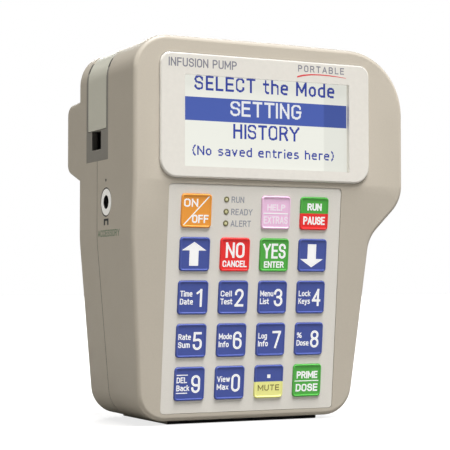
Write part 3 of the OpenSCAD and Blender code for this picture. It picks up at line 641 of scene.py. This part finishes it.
def key_plate(name, tag, pts, mat="ink_white"):
    c, r = KEYS[name][:2]
    cx, cy = KEY_X0 + c * KEY_PX + TEXT_DX, -(KEY_S0 + r * KEY_PZ)
    return plate(f"{name}_{tag}", [(cx + x, cy + y) for x, y in pts], FACE_PANEL, TOP_W - 0.01, TOP_W + 0.025, M[mat], name)


KEYS = {
    "key_power": (0, 0, "orange"), "key_help": (2, 0, "pink"), "key_run": (3, 0, "green", "red"),
    "key_up": (0, 1, "blue"), "key_no": (1, 1, "red"), "key_yes": (2, 1, "green"), "key_down": (3, 1, "blue"),
    "key_1": (0, 2, "blue"), "key_2": (1, 2, "blue"), "key_3": (2, 2, "blue"), "key_4": (3, 2, "blue"),
    "key_5": (0, 3, "blue"), "key_6": (1, 3, "blue"), "key_7": (2, 3, "blue"), "key_8": (3, 3, "blue"),
    "key_9": (0, 4, "blue"), "key_0": (1, 4, "blue"), "key_silence": (2, 4, "blue", "yellow"), "key_prime": (3, 4, "green"),
}
for k, d in KEYS.items():
    keycap(k, d[0], d[1], M[d[2]], M[d[3]] if len(d) > 3 else None)

LEGENDS = {"1": ("Time", "Date"), "2": ("Cell", "Test"), "3": ("Menu", "List"), "4": ("Lock", "Keys"), "5": ("Rate", "Sum"),
           "6": ("Mode", "Info"), "7": ("Log", "Info"), "8": ("%", "Dose"), "9": ("DEL", "Back"), "0": ("View", "Max")}
LEG_W = {"1": (4.6, 4.9), "2": (4.3, 4.6), "3": (5.2, 3.6), "4": (4.8, 4.7), "5": (4.7, 4.4), "6": (5.0, 3.9), "7": (3.4, 3.9), "8": (2.0, 4.9), "9": (3.9, 4.9), "0": (5.0, 4.5)}
for d, (a, b) in LEGENDS.items():
    k = "key_" + d
    key_text(k, "digit", d, 2.55, -0.1, 6.0, 2.1 if d == "1" else 3.3, stroke=0.78)
    wa, wb = LEG_W[d]
    key_text(k, "word_a", a, -4.45, 1.3, 1.95, wa * 0.97, align="L", stroke=0.33)
    key_text(k, "word_b", b, -4.45, -1.35, 1.95, wb * 0.97, align="L", stroke=0.33)
key_plate("key_9", "bar_a", [(-4.8, 2.85), (-0.4, 2.85), (-0.4, 3.15), (-4.8, 3.15)])
key_plate("key_9", "bar_b", [(-4.8, -3.2), (-0.4, -3.2), (-0.4, -2.9), (-4.8, -2.9)])

key_text("key_power", "on", "ON", -1.8, 2.6, 2.75, 5.1, stroke=0.5)
key_text("key_power", "off", "OFF", 1.75, -2.7, 2.75, 6.0, stroke=0.5)
key_plate("key_power", "slash", [(-4.5, -4.75), (-4.2, -5.0), (5.0, 4.75), (4.7, 5.0)])
key_text("key_help", "a", "HELP", 0.3, 1.75, 2.2, 6.9, "ink_pink", stroke=0.44)
key_plate("key_help", "line", [(-4.9, -0.5), (4.9, -0.5), (4.9, -0.15), (-4.9, -0.15)], "ink_white")
key_text("key_help", "b", "EXTRAS", 0.3, -2.55, 2.5, 9.2, "ink_pink", stroke=0.38)
key_text("key_run", "a", "RUN", 0.3, 2.25, 2.5, 5.6, stroke=0.54)
key_text("key_run", "b", "PAUSE", 0.3, -2.45, 2.8, 8.5, stroke=0.52)
key_text("key_no", "a", "NO", 0.3, 1.5, 5.2, 7.0, stroke=0.78)
key_text("key_no", "b", "CANCEL", 0.3, -3.1, 2.2, 9.1, stroke=0.4)
key_text("key_yes", "a", "YES", 0.3, 1.35, 5.1, 8.7, stroke=0.74)
key_text("key_yes", "b", "ENTER", 0.3, -3.25, 2.2, 7.6, stroke=0.42)
arrow = [(-1.65, -3.85), (1.65, -3.85), (1.65, 1.25), (4.5, 1.25), (0, 4.1), (-4.5, 1.25), (-1.65, 1.25)]
key_plate("key_up", "arrow", arrow)
key_plate("key_down", "arrow", [(-x, -y) for x, y in arrow])
key_plate("key_silence", "dot", [(-0.35, 1.2), (0.85, 1.2), (0.85, 2.4), (-0.35, 2.4)])
key_text("key_silence", "word", "MUTE", 0.3, -2.1, 2.0, 8.2, "ink_brown", stroke=0.3)
key_text("key_prime", "a", "PRIME", 0.3, 1.95, 2.5, 8.2, stroke=0.5)
key_plate("key_prime", "line", [(-4.9, -0.32), (4.9, -0.32), (4.9, 0.0), (-4.9, 0.0)])
key_text("key_prime", "b", "DOSE", 0.3, -2.5, 2.6, 8.6, stroke=0.5)

# status lights and their words
for i, s in enumerate((6.2, 10.3, 14.2)):
    prof = [(0.93, -0.6), (0.93, -0.1), (0.86, -0.04), (0.62, -0.02), (0.56, -0.08), (0.56, -0.6)]
    n = 28
    verts, faces = [], []
    for r_, w_ in prof:
        for k in range(n):
            a = 2 * math.pi * k / n
            verts.append(FACE_PANEL @ (Vector((-17.65 + r_ * math.cos(a), -s + r_ * math.sin(a), w_)) * MM))
    for j in range(len(prof)):
        j2 = (j + 1) % len(prof)
        for k in range(n):
            a, b = j * n + k, j * n + (k + 1) % n
            c_, d_ = j2 * n + (k + 1) % n, j2 * n + k
            faces.append((a, b, c_, d_))
    ring = obj_from(f"status_ring_{i+1}", verts, faces, M["led_ring"])
    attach(ring, "housing")
    prof = [(0.55, -3.4), (0.55, -0.14)] + [(0.55 * math.cos(math.radians(15 * k)), -0.14 + 0.12 * math.sin(math.radians(15 * k))) for k in range(1, 6)]
    verts, faces = [], []
    for r_, w_ in prof:
        for k in range(n):
            a = 2 * math.pi * k / n
            verts.append(FACE_PANEL @ (Vector((-17.65 + r_ * math.cos(a), -s + r_ * math.sin(a), w_)) * MM))
    for j in range(len(prof) - 1):
        for k in range(n):
            a, b = j * n + k, j * n + (k + 1) % n
            faces.append((a, b, b + n, a + n))
    faces.append(tuple((len(prof) - 1) * n + k for k in range(n)))
    faces.append(tuple(range(n - 1, -1, -1)))
    lens = obj_from(f"status_lens_{i+1}", verts, faces, M["led"])
    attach(lens, "housing")
    if i == 0:
        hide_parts("status_leds")
for tag, s, word, w in (("a", 6.2, "RUN", 4.7), ("b", 10.3, "READY", 8.0), ("c", 14.2, "ALERT", 7.6)):
    lettering("status_word_" + tag, word, FACE_PANEL, (-15.8, -s, -0.155), 2.1, w, M["ink_led"], "housing", align="L", depth=0.02, stroke=0.3)

# ------------------------------------------------------------------ display
WX0, WX1, WZ0, WZ1 = -33.68, 29.2, 85.7, 116.15
W, H = WX1 - WX0, WZ1 - WZ0
LCD_Y = -30.2
FACE_LCD = Matrix.Translation((0, LCD_Y * MM, 0)) @ Matrix.Rotation(math.radians(90), 4, "X")
lcd = refine("lcd_panel", [M["lcd"]], width=0.08, segs=1, name="display_glass")
PITCH = W / 240


def dots(name, string, u0, u1, v0, v1, mat, dots_wide=3, w=0.012, gap=2.4):
    """Letters as rows of square dots: u0..u1 across, v0..v1 the cap height, in mm from the display's lower left corner."""
    stroke = dots_wide * PITCH
    lines, total = place_lines(string, v1 - v0, u1 - u0, stroke, gap)
    off = 0.5 if dots_wide % 2 else 0.0

    def snap(t):
        return (round(t / PITCH - off) + off) * PITCH

    segs = []
    for ln in lines:
        straight = len(ln) == 2
        q = [(snap(x + u0), snap(y + v0)) if straight else (x + u0, y + v0) for x, y in ln]
        segs += [(*a, *b) for a, b in zip(q[:-1], q[1:])]
    S = np.array(segs)
    xs = (np.arange(int((u0 - 1) / PITCH), int((u1 + 1) / PITCH) + 2) + 0.5) * PITCH
    ys = (np.arange(int((v0 - 2.5) / PITCH) - 1, int((v1 + 1.5) / PITCH) + 2) + 0.5) * PITCH
    gx, gy = np.meshgrid(xs, ys)
    best = np.full(gx.shape, 9.0)
    for ax, ay, bx, by in S:
        dx, dy = bx - ax, by - ay
        t = np.clip(((gx - ax) * dx + (gy - ay) * dy) / max(dx * dx + dy * dy, 1e-9), 0, 1)
        best = np.minimum(best, np.maximum(np.abs(gx - ax - t * dx), np.abs(gy - ay - t * dy)) * 0.5
                          + 0.5 * np.hypot(gx - ax - t * dx, gy - ay - t * dy))
    lit = best < (1.3 if dots_wide == 3 else 0.9) * PITCH
    verts, faces = [], []
    for j in range(lit.shape[0]):
        run = None
        for i in range(lit.shape[1] + 1):
            hit = i < lit.shape[1] and bool(lit[j, i])
            if hit and run is None:
                run = i
            if not hit and run is not None:
                a, b_ = xs[run] - PITCH / 2, xs[i - 1] + PITCH / 2
                c, d = ys[j] - PITCH / 2, ys[j] + PITCH / 2
                k = len(verts)
                for z in (0.002, w):
                    verts += [(a, c, z), (b_, c, z), (b_, d, z), (a, d, z)]
                faces += [(k + 3, k + 2, k + 1, k), (k + 4, k + 5, k + 6, k + 7), (k, k + 1, k + 5, k + 4), (k + 1, k + 2, k + 6, k + 5), (k + 2, k + 3, k + 7, k + 6), (k + 3, k, k + 4, k + 7)]
                run = None
    verts = [FACE_LCD @ (Vector((WX0 + x, WZ0 + y, z)) * MM) for x, y, z in verts]
    o = obj_from(name, verts, faces, mat, smooth=False)
    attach(o, "housing")
    return o


plate("display_bar", [(WX0 + 0.05, 101.14), (29.05, 101.14), (29.05, 109.0), (WX0 + 0.05, 109.0)], FACE_LCD, 0.002, 0.01, M["lcd_bar"], "housing")
dots("display_line_1", "SELECT the Mode", 4.2, 57.9, H - 4.75, H + 0.12, M["lcd_ink"], gap=2.9)
dots("display_line_2", "SETTING", 17.5, 44.7, H - 12.9, H - 7.75, M["lcd_white"], w=0.02)
dots("display_line_3", "HISTORY", 18.6, 43.9, H - 20.5, H - 15.4, M["lcd_ink"])
dots("display_line_4", "(No saved entries here)", 3.5, 57.6, H - 26.5, H - 23.4, M["lcd_ink"], dots_wide=2, gap=3.0)
lettering("window_word", "INFUSION PUMP", FACE_FRONT, (-39.6, 120.0, 0.716), 2.9, 25.0, M["ink_grey"], "housing", align="L", depth=0.008, stroke=0.42)

lettering("window_word_b", "PORTABLE", FACE_FRONT, (8.9, 120.75, 0.716), 2.3, 18.2, M["ink_grey"], "housing", align="L", depth=0.008, stroke=0.36, gap=4.0)
lo_edge = [(8.5, 117.45), (11.0, 118.15), (14.0, 118.6), (17.5, 118.78), (21.0, 118.75), (24.5, 118.6), (28.0, 118.35)]
hi_edge = [(28.0, 118.5), (24.5, 118.85), (21.0, 119.1), (17.5, 119.18), (14.0, 119.05), (11.0, 118.7), (8.6, 118.05)]
plate("window_rule", lo_edge + hi_edge, FACE_FRONT, 0.716, 0.727, M["ink_red"], "housing")

# ------------------------------------------------------------------ side marks
def ring_pts(cx, cy, r, n=28):
    return [(cx + r * math.cos(2 * math.pi * k / n), cy + r * math.sin(2 * math.pi * k / n)) for k in range(n)]


# in FACE_LEFT, X runs towards the front (-Y) and Y is up
plate("jack_dot", ring_pts(6.6, 82.0, 0.5), FACE_LEFT, -0.014, -0.003, M["ink_dark"], "housing")
plate("jack_mark", [(4.8, 66.75), (6.0, 66.75), (6.0, 68.2), (7.9, 68.2), (7.9, 66.75), (9.1, 66.75), (9.1, 68.95), (4.8, 68.95)], FACE_LEFT, -0.014, -0.003, M["ink_dark"], "housing")
lettering("jack_word", "ACCESSORY", FACE_LEFT, (9.2, 64.0, -0.014), 2.3, 19.5, M["ink_green"], "housing", depth=0.008, stroke=0.34)

# ------------------------------------------------------------------ the other nodes keep their CAD shape
PLAIN = {
    "lcd_backlight": "acetal", "keypad_mat": "silicone", "keypad_board": "board", "main_board": "board", "board_chips": "black",
    "buzzer": "black", "housing_screws": "steel", "finger_guide": "acetal", "camshaft_bearings": "steel", "camshaft": "steel",
    "pump_cam": "acetal", "cam_gear": "brass", "motor_pinion": "brass", "gearmotor": "can", "motor_bracket": "steel",
    "inlet_valve_finger": "acetal", "pump_finger": "acetal", "outlet_valve_finger": "acetal", "platen": "acetal",
    "door_hinge_pins": "steel", "latch_pin": "steel", "air_detector": "black", "pressure_sensors": "steel",
    "battery_tray": "tray", "battery_cells": "cell", "battery_contacts": "steel", "battery_springs": "steel", "battery_hinge_pin": "steel",
}
for n, m in PLAIN.items():
    if n in ("battery_springs", "cam_gear", "motor_pinion"):
        o = frame["nodes"][n]
        o.data.materials.clear()
        o.data.materials.append(M[m])
    else:
        refine(n, [M[m]], width=0.12, segs=1, name=n + "_shape")

# ------------------------------------------------------------------ floor, light, world
def floor_mat():
    """White paper sweep: bright where it is seen, less so in the light it throws back."""
    m, nt, b = new_mat("studio_floor")
    v = coords(nt)
    nt.links.new(mix_col(nt, remap(nt, noise(nt, v, 3.0), 0, 1), (0.14, 0.136, 0.128), (0.15, 0.146, 0.138)), b.inputs["Base Color"])
    b.inputs["Roughness"].default_value = 0.85
    glow = nt.nodes.new("ShaderNodeEmission")
    glow.inputs["Color"].default_value = (1, 1, 1, 1)
    glow.inputs["Strength"].default_value = 0.78
    add = nt.nodes.new("ShaderNodeAddShader")
    nt.links.new(b.outputs["BSDF"], add.inputs[0])
    nt.links.new(glow.outputs["Emission"], add.inputs[1])
    lp = nt.nodes.new("ShaderNodeLightPath")
    mx = nt.nodes.new("ShaderNodeMixShader")
    nt.links.new(lp.outputs["Is Camera Ray"], mx.inputs["Fac"])
    nt.links.new(b.outputs["BSDF"], mx.inputs[1])
    nt.links.new(add.outputs["Shader"], mx.inputs[2])
    nt.links.new(mx.outputs["Shader"], nt.nodes["Material Output"].inputs["Surface"])
    return m


floor = obj_from("floor", [(-6, -6, 0), (6, -6, 0), (6, 6, 0), (-6, 6, 0)], [(0, 1, 2, 3)], floor_mat(), smooth=False)

world = bpy.data.worlds.new("world")
scene.world = world
world.use_nodes = True
wn = world.node_tree
bg = wn.nodes["Background"]
bg.inputs["Color"].default_value = (1.0, 0.99, 0.97, 1)
bg.inputs["Strength"].default_value = 0.14
lp = wn.nodes.new("ShaderNodeLightPath")
bg2 = wn.nodes.new("ShaderNodeBackground")
bg2.inputs["Color"].default_value = (1, 1, 1, 1)
bg2.inputs["Strength"].default_value = 1.0
mx = wn.nodes.new("ShaderNodeMixShader")
out = wn.nodes["World Output"]
wn.links.new(lp.outputs["Is Camera Ray"], mx.inputs["Fac"])
wn.links.new(bg.outputs["Background"], mx.inputs[1])
wn.links.new(bg2.outputs["Background"], mx.inputs[2])
wn.links.new(mx.outputs["Shader"], out.inputs["Surface"])


def sun(name, toward, power, angle, color=(1, 1, 1)):
    """A broad, even light that comes from the direction toward."""
    l = bpy.data.lights.new(name, "SUN")
    l.energy = power
    l.angle = math.radians(angle)
    l.color = color
    o = bpy.data.objects.new(name, l)
    coll.objects.link(o)
    o.matrix_world = (-Vector(toward)).to_track_quat("-Z", "Y").to_matrix().to_4x4()
    return o


sun("key_light", (0.22, -0.5, 1.95), 8.2, 32)
sun("back_fill", (0.45, 1.0, 0.4), 1.6, 24)
sun("side_fill", (-1.0, -0.12, 0.22), 0.65, 70, (1.0, 0.985, 0.92))

scene.view_settings.view_transform = "Standard"
scene.view_settings.look = "None"

bpy.context.view_layer.update()
